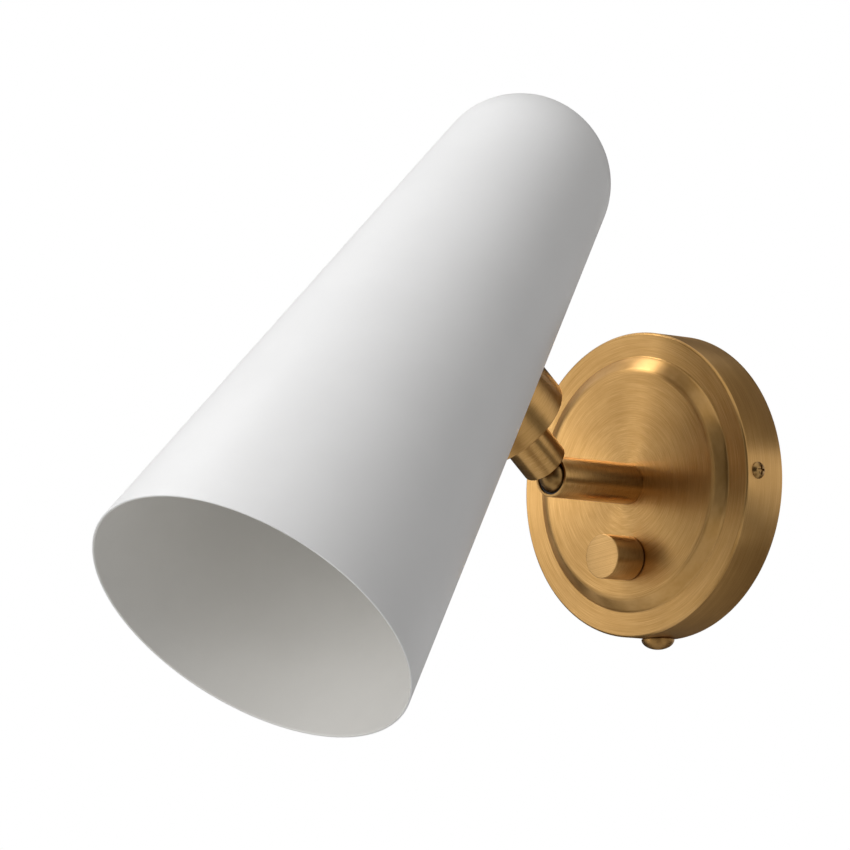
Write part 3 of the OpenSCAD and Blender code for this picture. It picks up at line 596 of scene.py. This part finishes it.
def makeSleeve(k):
    webStart = k["cupFloor"] - k["web"]
    threadBore = k["thread"] + k["threadGap"]
    bm = turn([
        (k["sleeve"], k["sleeveStart"], k["edge"]), (k["sleeve"], k["cupFloor"]),
        (k["nippleBore"], k["cupFloor"]), (k["nippleBore"], webStart), (k["cavity"], webStart),
        (k["cavity"], k["cavityStart"]), (threadBore, k["cavityStart"]), (threadBore, k["floor"]),
        (k["hollow"], k["floor"], k["innerRound"]), (k["hollow"], k["sleeveStart"], k["innerRound"]),
    ])
    piece = toObject(bm, "knuckleSleeve", neckFrame)
    screwHeight = (k["floor"] + k["threadEnd"]) / 2
    screwHole = drill(neckFrame @ Matrix.Translation((0, 0, screwHeight * mm))
                      @ Matrix.Rotation(-quarterTurn, 4, "Y"), k["screwBore"], 2 * k["sleeve"])
    cutAway(piece, [screwHole])
    settle(piece, [neckBrass], "knuckle_sleeve")


makeStud(knuckle)
makeSleeve(knuckle)
print("arm, stud and sleeve made")


# Shade: one spun cone with a round end, in the frame of its own axis

shade = {
    "opening": 66.2, "openingAt": -151.2, "sheet": 1.1, "domeCentre": 76.2, "dome": 35.0,
    "steps": 256, "arcSteps": 40, "hole": 5.2, "rim": 0.5, "rimSteps": 5, "seat": 0.1,
}


# Half angle of the cone whose wall runs from the opening onto the round end without a kink
def coneAngle(s):
    length = s["domeCentre"] - s["openingAt"]
    return (math.atan2(s["opening"], length) - quarterTurn
            + math.acos(s["dome"] / math.hypot(s["opening"], length)))


# The shade's radius at a height, with an inset measured square to the wall
def shadeRadius(s, height, inset=0.0):
    rise = (height - s["openingAt"]) * math.tan(coneAngle(s))
    return s["opening"] - rise - inset / math.cos(coneAngle(s))


def makeShade(s):
    angle = math.degrees(coneAngle(s))
    innerDome = s["dome"] - s["sheet"]
    openingInner = shadeRadius(s, s["openingAt"], s["sheet"])
    bm = turn([(s["opening"], s["openingAt"], s["rim"])]
              + arcPoints(s["domeCentre"], s["dome"], angle, 90, s["arcSteps"])
              + arcPoints(s["domeCentre"], innerDome, 90, angle, s["arcSteps"])
              + [(openingInner, s["openingAt"], s["rim"])], s["steps"], segments=s["rimSteps"])
    # Faces that look into the cone take the second paint, the painted shade.
    for face in bm.faces:
        centre = face.calc_center_median()
        core = Vector((0, 0, min(centre.z, s["domeCentre"] * mm)))
        face.material_index = 0 if face.normal.dot(centre - core) > 0 else 1
    piece = toObject(bm, "shade", shadeFrame)
    hole = drill(shadeFrame @ Matrix.Rotation(-quarterTurn, 4, "X"), s["hole"], s["opening"])
    cutAway(piece, [hole])
    settle(piece, [whitePaint, shadedInsidePaint], "shade", "shade_end")


def makeCup(k, s):
    bm = turn([
        (k["cupHole"], 0), (k["cup"], 0, k["cupEdge"]), (k["cup"], k["cup"]),
        (k["cup"] - k["cupWall"], k["cup"]), (k["cup"] - k["cupWall"], k["cupSheet"], k["cupRound"]),
        (k["cupHole"], k["cupSheet"]),
    ], k["cupSteps"])
    piece = toObject(bm, "shadeCup", neckFrame @ Matrix.Translation((0, 0, k["cupFloor"] * mm)))
    reach = k["coneReach"]
    cone = turn([(0, -reach), (shadeRadius(s, -reach, -s["seat"]), -reach),
                 (shadeRadius(s, reach, -s["seat"]), reach), (0, reach)], s["steps"])
    cone.transform(shadeFrame)
    cutAway(piece, [cone])
    addBevel(piece, k["cupBevel"], angle=50)
    settle(piece, [neckBrass], "shade_cup")


makeShade(shade)
makeCup(knuckle, shade)
print("shade and cup made")


# Knob: turned, with a straight brushed face, hollow at the back

knob = {
    "radius": 8.65, "start": 24.2, "length": 14.6, "edge": 0.3, "hollow": 7.0, "hollowDepth": 3.8,
    "shaft": 3.02, "shaftDepth": 11.7, "screwBore": 1.52, "screwAt": 7.7, "steps": 192,
    "brushedSlope": 0.95, "brushedFrom": 0.9,
}


def makeKnob(k):
    bm = turn([
        (0, k["shaftDepth"]), (k["shaft"], k["shaftDepth"]), (k["shaft"], k["hollowDepth"]),
        (k["hollow"], k["hollowDepth"]), (k["hollow"], 0), (k["radius"], 0, k["edge"]),
        (k["radius"], k["length"], k["edge"]), (0, k["length"]),
    ], k["steps"])
    # The level faces at the knob's end take the lighter brass, the painted light on its face.
    for face in bm.faces:
        level = face.normal.z > k["brushedSlope"]
        nearEnd = face.calc_center_median().z > k["brushedFrom"] * k["length"] * mm
        face.material_index = 1 if level and nearEnd else 0
    place = knobFrame @ Matrix.Translation((0, 0, k["start"] * mm))
    piece = toObject(bm, "knob", place)
    screwPlace = (place @ Matrix.Translation((0, 0, k["screwAt"] * mm))
                  @ Matrix.Rotation(-quarterTurn, 4, "Y"))
    cutAway(piece, [drill(screwPlace, k["screwBore"], 2 * k["radius"])])
    settle(piece, [knobBrass, litKnobFaceBrass], "knob")


makeKnob(knob)


# Port plug: a round-headed button that follows the canopy's side and snaps into its port

portPlug = {
    "height": 4.3, "radius": 6.5, "undercut": 5.9, "lip": 0.3, "base": -0.15,
    "shank": 4.98, "snapStart": -3.1, "snapLength": 1.2, "snapRim": 0.35,
    "gap": 0.02, "nearBase": 0.01, "steps": 96,
}


def makePortPlug(p, c):
    snapEnd = p["snapStart"] + p["snapLength"]
    bm = turn([(0, p["snapStart"]), (p["shank"], p["snapStart"]), (p["shank"] + p["snapRim"], snapEnd),
               (p["shank"], snapEnd), (p["shank"], p["base"]), (p["undercut"], p["base"])]
              + [(p["radius"] * radius, p["lip"] + (p["height"] - p["lip"]) * height)
                 for radius, height in arcPoints(0, 1, 0, 90)], p["steps"])
    for vertex in bm.verts:
        if abs(vertex.co.z - p["base"] * mm) < p["nearBase"] * mm:
            across = vertex.co.x / mm
            vertex.co.z = (math.sqrt((c["radius"] + p["gap"]) ** 2 - across ** 2) - c["radius"]) * mm
    settle(toObject(bm, "cordPortPlug", portPlace(c), sharp=40), [plugBrass], "cord_port_plug")


makePortPlug(portPlug, canopy)
print("knob and port plug made")


# Lampholder: moulded cap and body, and a thin screw shell with a rolled thread

lampholder = {
    "capStart": 16.0, "cap": 16.8, "capEnd": 30.0, "capWall": 3.6, "capWeb": 22.0, "capRound": 1.6,
    "nippleBore": 5.02, "edge": 0.3,
    "bodyStart": -22.0, "body": 17.5, "bodyWall": 2.4, "mouthRounds": (0.8, 0.6),
    "bead": 0.5, "beadLength": 2.0, "beadRound": 0.2, "beadFromMouth": 3.0, "beadFromCap": 4.0,
    "shellStart": -15.0, "shellBore": 13.15, "shellSheet": 0.5, "shellEnd": 12.0, "shellSteps": 96,
    "narrowFrom": 7.0, "narrow": 2.0, "flange": 15.08,
    "pitch": 3.6, "threadDepth": 0.7, "rowsPerTurn": 12, "slack": 0.1,
}


def makeLampholder(h):
    cap = turn([
        (h["cap"], h["capStart"], h["edge"]), (h["cap"], h["capEnd"], h["capRound"]),
        (h["nippleBore"], h["capEnd"]), (h["nippleBore"], h["capWeb"]),
        (h["cap"] - h["capWall"], h["capWeb"]), (h["cap"] - h["capWall"], h["capStart"]),
    ])
    settle(toObject(cap, "lampholderCap", shadeFrame), [blackPhenolic], "lampholder_cap")
    start, end, outer = h["bodyStart"], h["capStart"], h["body"]
    inner = outer - h["bodyWall"]
    outerRound, innerRound = h["mouthRounds"]
    bead, beadLength, beadRound = h["bead"], h["beadLength"], h["beadRound"]
    beads = []
    for foot in (start + h["beadFromMouth"], end - h["beadFromCap"]):
        top = foot + beadLength
        beads += [(outer, foot, beadRound), (outer - bead, foot + bead, beadRound),
                  (outer - bead, top - bead, beadRound), (outer, top, beadRound)]
    body = turn([(outer, start, outerRound)] + beads
                + [(outer, end, h["edge"]), (inner, end, beadRound), (inner, start, innerRound)])
    settle(toObject(body, "lampholderBody", shadeFrame), [blackPhenolic], "lampholder_body")


# The rolled thread: the sheet's radius rises and falls once in each turn
def makeScrewShell(h):
    bore, sheet = h["shellBore"], h["shellSheet"]
    length = h["narrowFrom"] - h["shellStart"]
    rows = round(length / h["pitch"] * h["rowsPerTurn"])
    heights = [h["shellStart"] + length * row / rows for row in range(rows + 1)]
    narrow = bore - h["narrow"]
    outline = [(bore, height) for height in heights]
    outline += [(narrow, h["narrowFrom"]), (narrow, h["shellEnd"]),
                (h["flange"], h["shellEnd"]), (h["flange"], h["shellEnd"] - sheet),
                (narrow + sheet, h["shellEnd"] - sheet),
                (narrow + sheet, h["narrowFrom"] + sheet), (bore + sheet, h["narrowFrom"] + sheet)]
    outline += [(bore + sheet, height) for height in reversed(heights)]
    bm = turn(outline, h["shellSteps"])
    fade = h["pitch"] / 2
    for vertex in bm.verts:
        height = vertex.co.z / mm
        radius = math.hypot(vertex.co.x, vertex.co.y)
        if radius < (bore - h["slack"]) * mm or height > h["narrowFrom"] + h["slack"] * sheet:
            continue
        phase = height / h["pitch"] * fullTurn - math.atan2(vertex.co.y, vertex.co.x)
        ends = min(1.0, (height - h["shellStart"]) / fade, (h["narrowFrom"] - height) / fade)
        rise = h["threadDepth"] / 2 * max(ends, 0.0) * (1 - math.cos(phase)) * mm
        vertex.co.x *= 1 + rise / radius
        vertex.co.y *= 1 + rise / radius
    settle(toObject(bm, "screwShell", shadeFrame, sharp=60), [plainBrass], "screw_shell")


makeLampholder(lampholder)
makeScrewShell(lampholder)
print("lampholder made")


# Leads: each run's tubes are told apart, coloured by what they carry, and smoothed

leadRuns = {
    "supply_leads": {"title": "supplyLeads", "feedReach": 20.0},
    "arm_leads": {"title": "armLeads"},
    "head_leads": {"title": "headLeads"},
}


# The vertices of each tube, one tube at a time
def separateTubes(bm):
    left = set(bm.verts)
    while left:
        group, edge = set(), [left.pop()]
        while edge:
            vertex = edge.pop()
            group.add(vertex)
            for link in vertex.link_edges:
                other = link.other_vert(vertex)
                if other in left:
                    left.remove(other)
                    edge.append(other)
        yield group


# The feed is black and the ground green; elsewhere the live lead is black and the neutral white
def makeLeads(node, run):
    bm = copyNode(node, flatten=False)
    for tube in separateTubes(bm):
        if "feedReach" in run:
            index = 0 if max(vertex.co.x for vertex in tube) > run["feedReach"] * mm else 2
        else:
            index = 0 if sum(vertex.co.x for vertex in tube) > 0 else 1
        for face in {face for vertex in tube for face in vertex.link_faces}:
            face.material_index = index
    piece = toObject(bm, run["title"], sharp=50)
    smoothing = piece.modifiers.new("smoothing", "SUBSURF")
    smoothing.levels = 1
    smoothing.render_levels = 1
    settle(piece, [blackInsulation, whiteInsulation, greenInsulation], node)


for node, run in leadRuns.items():
    makeLeads(node, run)
print("leads made")


# Pieces whose shape is right as it is: a merged copy with broken edges and their own finish

plainPieces = {
    "wall_bracket": (zincSteel, 0.25), "side_screws": (smallBrass, 0.12),
    "ground_screw": (greenZinc, 0.12),
    "arm_foot": (plainBrass, 0.2), "arm_nipple": (plainBrass, 0.2),
    "arm_lock_washer": (springSteel, 0.1), "arm_nut": (zincSteel, 0.25),
    "ball_stop_plug": (plainBrass, 0.1), "ball_disc_springs": (springSteel, 0.05),
    "ball_liner": (blackNylon, 0.1), "sleeve_set_screw": (springSteel, 0.1),
    "cup_nipple": (plainBrass, 0.2), "shade_saddle": (zincSteel, 0.15),
    "saddle_lock_washer": (springSteel, 0.1), "saddle_nut": (zincSteel, 0.25),
    "lampholder_bracket": (zincSteel, 0.2), "lampholder_nipple": (plainBrass, 0.2),
    "lampholder_nut": (zincSteel, 0.25), "shell_insulator": (insulatorBoard, 0.15),
    "centre_contact": (plainBrass, 0.08), "dimmer_body": (blackPhenolic, 0.4),
    "dimmer_washer": (zincSteel, 0.08), "dimmer_nut": (zincSteel, 0.2),
    "dimmer_shaft": (plainBrass, 0.3), "knob_set_screw": (springSteel, 0.1),
    "wire_connectors": (connectorPlastic, 0.25),
}


def pieceName(node):
    words = node.split("_")
    return words[0] + "".join(word.capitalize() for word in words[1:])


for node, (material, width) in plainPieces.items():
    piece = toObject(copyNode(node), pieceName(node))
    addBevel(piece, width)
    settle(piece, [material], node)
print("small pieces made:", len(plainPieces))


# Studio: a pale floor far below, big soft lamps in front and above, warm dark cards that shape the brass

studio = {
    "floorSize": 12.0, "floorAt": -1.2, "floorColour": (0.30, 0.30, 0.30),
    "floorGlow": 0.34, "floorWhite": 0.60, "fill": 0.48, "white": 1.0,
    "cardTint": (1.0, 0.78, 0.50), "cardRoughness": 0.9,
}

lamps = {
    "keyLight": {"from": (0.15, -1.10, 1.15), "size": 2.0, "power": 14.5, "unseenBy": "glossy"},
    "frontLight": {"from": (0.05, -1.60, 0.05), "size": 1.4, "power": 9.5, "unseenBy": "glossy"},
    "brassLight": {"from": (-0.36, -1.55, 0.02), "size": 0.75, "power": 16.0, "unseenBy": "diffuse"},
    "accentLight": {"from": (-0.58, -0.80, 1.04), "size": 0.7, "power": 11.0, "unseenBy": "diffuse"},
}

cards = {
    "rightCard": {"centre": (0.85, -1.00, 0.25), "size": (1.4, 1.4), "colour": 0.04},
    "sideCard": {"centre": (0.45, 0.75, 0.68), "size": (1.0, 0.8), "colour": 0.24},
    "backCard": {"centre": (-0.45, 0.85, 0.60), "size": (0.9, 0.8), "colour": 0.04},
    "footCard": {"centre": (0.45, -0.30, -0.75), "size": (0.55, 0.55), "colour": 0.45,
                 "unseenBy": "diffuse"},
    "hemCard": {"centre": (1.10, 0.45, -0.35), "size": (0.7, 0.5), "colour": 0.04},
    "underCard": {"centre": (-0.55, 0.00, -0.54), "size": (0.5, 0.5), "colour": 0.04},
    "leftCard": {"centre": (-0.95, 0.60, 0.00), "size": (1.2, 1.2), "colour": 0.04},
    "wingCard": {"centre": (-1.22, -0.28, 0.00), "size": (0.6, 1.1), "colour": 0.04},
    "paintCard": {"centre": (-1.30, -0.45, 0.00), "size": (1.0, 1.5), "colour": 0.04,
                  "unseenBy": "glossy"},
    "lowCard": {"centre": (-0.10, 0.78, -0.60), "size": (1.9, 0.8), "colour": 0.22,
                "unseenBy": "diffuse"},
}


# One strength for the light that it gives, another for the camera, reflections and glass
def seenStrength(tree, given, seen):
    path = tree.nodes.new("ShaderNodeLightPath").outputs
    direct = combine(tree, "MAXIMUM", path["Is Camera Ray"], path["Is Glossy Ray"])
    direct = combine(tree, "MAXIMUM", direct, path["Is Transmission Ray"])
    return mapValue(tree, direct, given, seen)


def makeWorld(s):
    world = bpy.data.worlds.new("studioWorld")
    bpy.context.scene.world = world
    world.use_nodes = True
    tree = world.node_tree
    tree.nodes.clear()
    background = addNode(tree, "ShaderNodeBackground", {
        "Color": (1, 1, 1, 1), "Strength": seenStrength(tree, s["fill"], s["white"])})
    addNode(tree, "ShaderNodeOutputWorld", {"Surface": background.outputs[0]})


def cardMaterial(name, colour, roughness):
    material, tree, shader = newMaterial(name, colour)
    shader.inputs["Base Color"].default_value = (*colour, 1)
    shader.inputs["Roughness"].default_value = roughness
    return material


# Pale with a soft shadow from above, and clear from below
def floorMaterial(s):
    material, tree, shader = newMaterial("floorPaint", s["floorColour"])
    shader.inputs["Base Color"].default_value = (*s["floorColour"], 1)
    shader.inputs["Roughness"].default_value = 1.0
    shader.inputs["Specular IOR Level"].default_value = 0.0
    shader.inputs["Emission Color"].default_value = (1, 1, 1, 1)
    glow = seenStrength(tree, s["floorGlow"], s["floorWhite"])
    tree.links.new(glow, shader.inputs["Emission Strength"])
    back = tree.nodes.new("ShaderNodeNewGeometry").outputs["Backfacing"]
    clear = tree.nodes.new("ShaderNodeBsdfTransparent").outputs[0]
    mix = addNode(tree, "ShaderNodeMixShader", {0: back, 1: shader.outputs[0], 2: clear})
    tree.links.new(mix.outputs[0], tree.nodes["Material Output"].inputs["Surface"])
    return material


def makePlane(name, material, size, place):
    bm = bmesh.new()
    bmesh.ops.create_grid(bm, x_segments=1, y_segments=1, size=0.5)
    bmesh.ops.scale(bm, vec=(size[0], size[1], 1), verts=bm.verts[:])
    plane = toObject(bm, name, place)
    plane.data.materials.append(material)
    return plane


# A place at a point whose z axis looks at the lamp
def facingLamp(centre):
    direction = Vector(centre)
    return Matrix.Translation(direction) @ direction.to_track_quat("Z", "Y").to_matrix().to_4x4()


# Lamps and cards never show to the camera; some serve only the paint and some only the brass
def hideFrom(shown, item):
    shown.visible_camera = False
    shown.visible_glossy = item.get("unseenBy") != "glossy"
    shown.visible_diffuse = item.get("unseenBy") != "diffuse"


def makeFloor(s):
    makePlane("floor", floorMaterial(s), (s["floorSize"], s["floorSize"]),
              Matrix.Translation((0, 0, s["floorAt"])))


def makeLamp(name, lamp):
    light = bpy.data.lights.new(name, "AREA")
    light.shape = "DISK"
    light.size = lamp["size"]
    light.energy = lamp["power"]
    shown = bpy.data.objects.new(name, light)
    shown.matrix_world = facingLamp(lamp["from"])
    hideFrom(shown, lamp)
    bpy.context.scene.collection.objects.link(shown)


def makeCard(name, card, s):
    colour = [card["colour"] * part for part in s["cardTint"]]
    cloth = cardMaterial(name + "Cloth", colour, s["cardRoughness"])
    hideFrom(makePlane(name, cloth, card["size"], facingLamp(card["centre"])), card)


makeWorld(studio)
makeFloor(studio)
for name, lamp in lamps.items():
    makeLamp(name, lamp)
for name, card in cards.items():
    makeCard(name, card, studio)
bpy.context.scene.view_settings.view_transform = "Standard"
print("studio made")
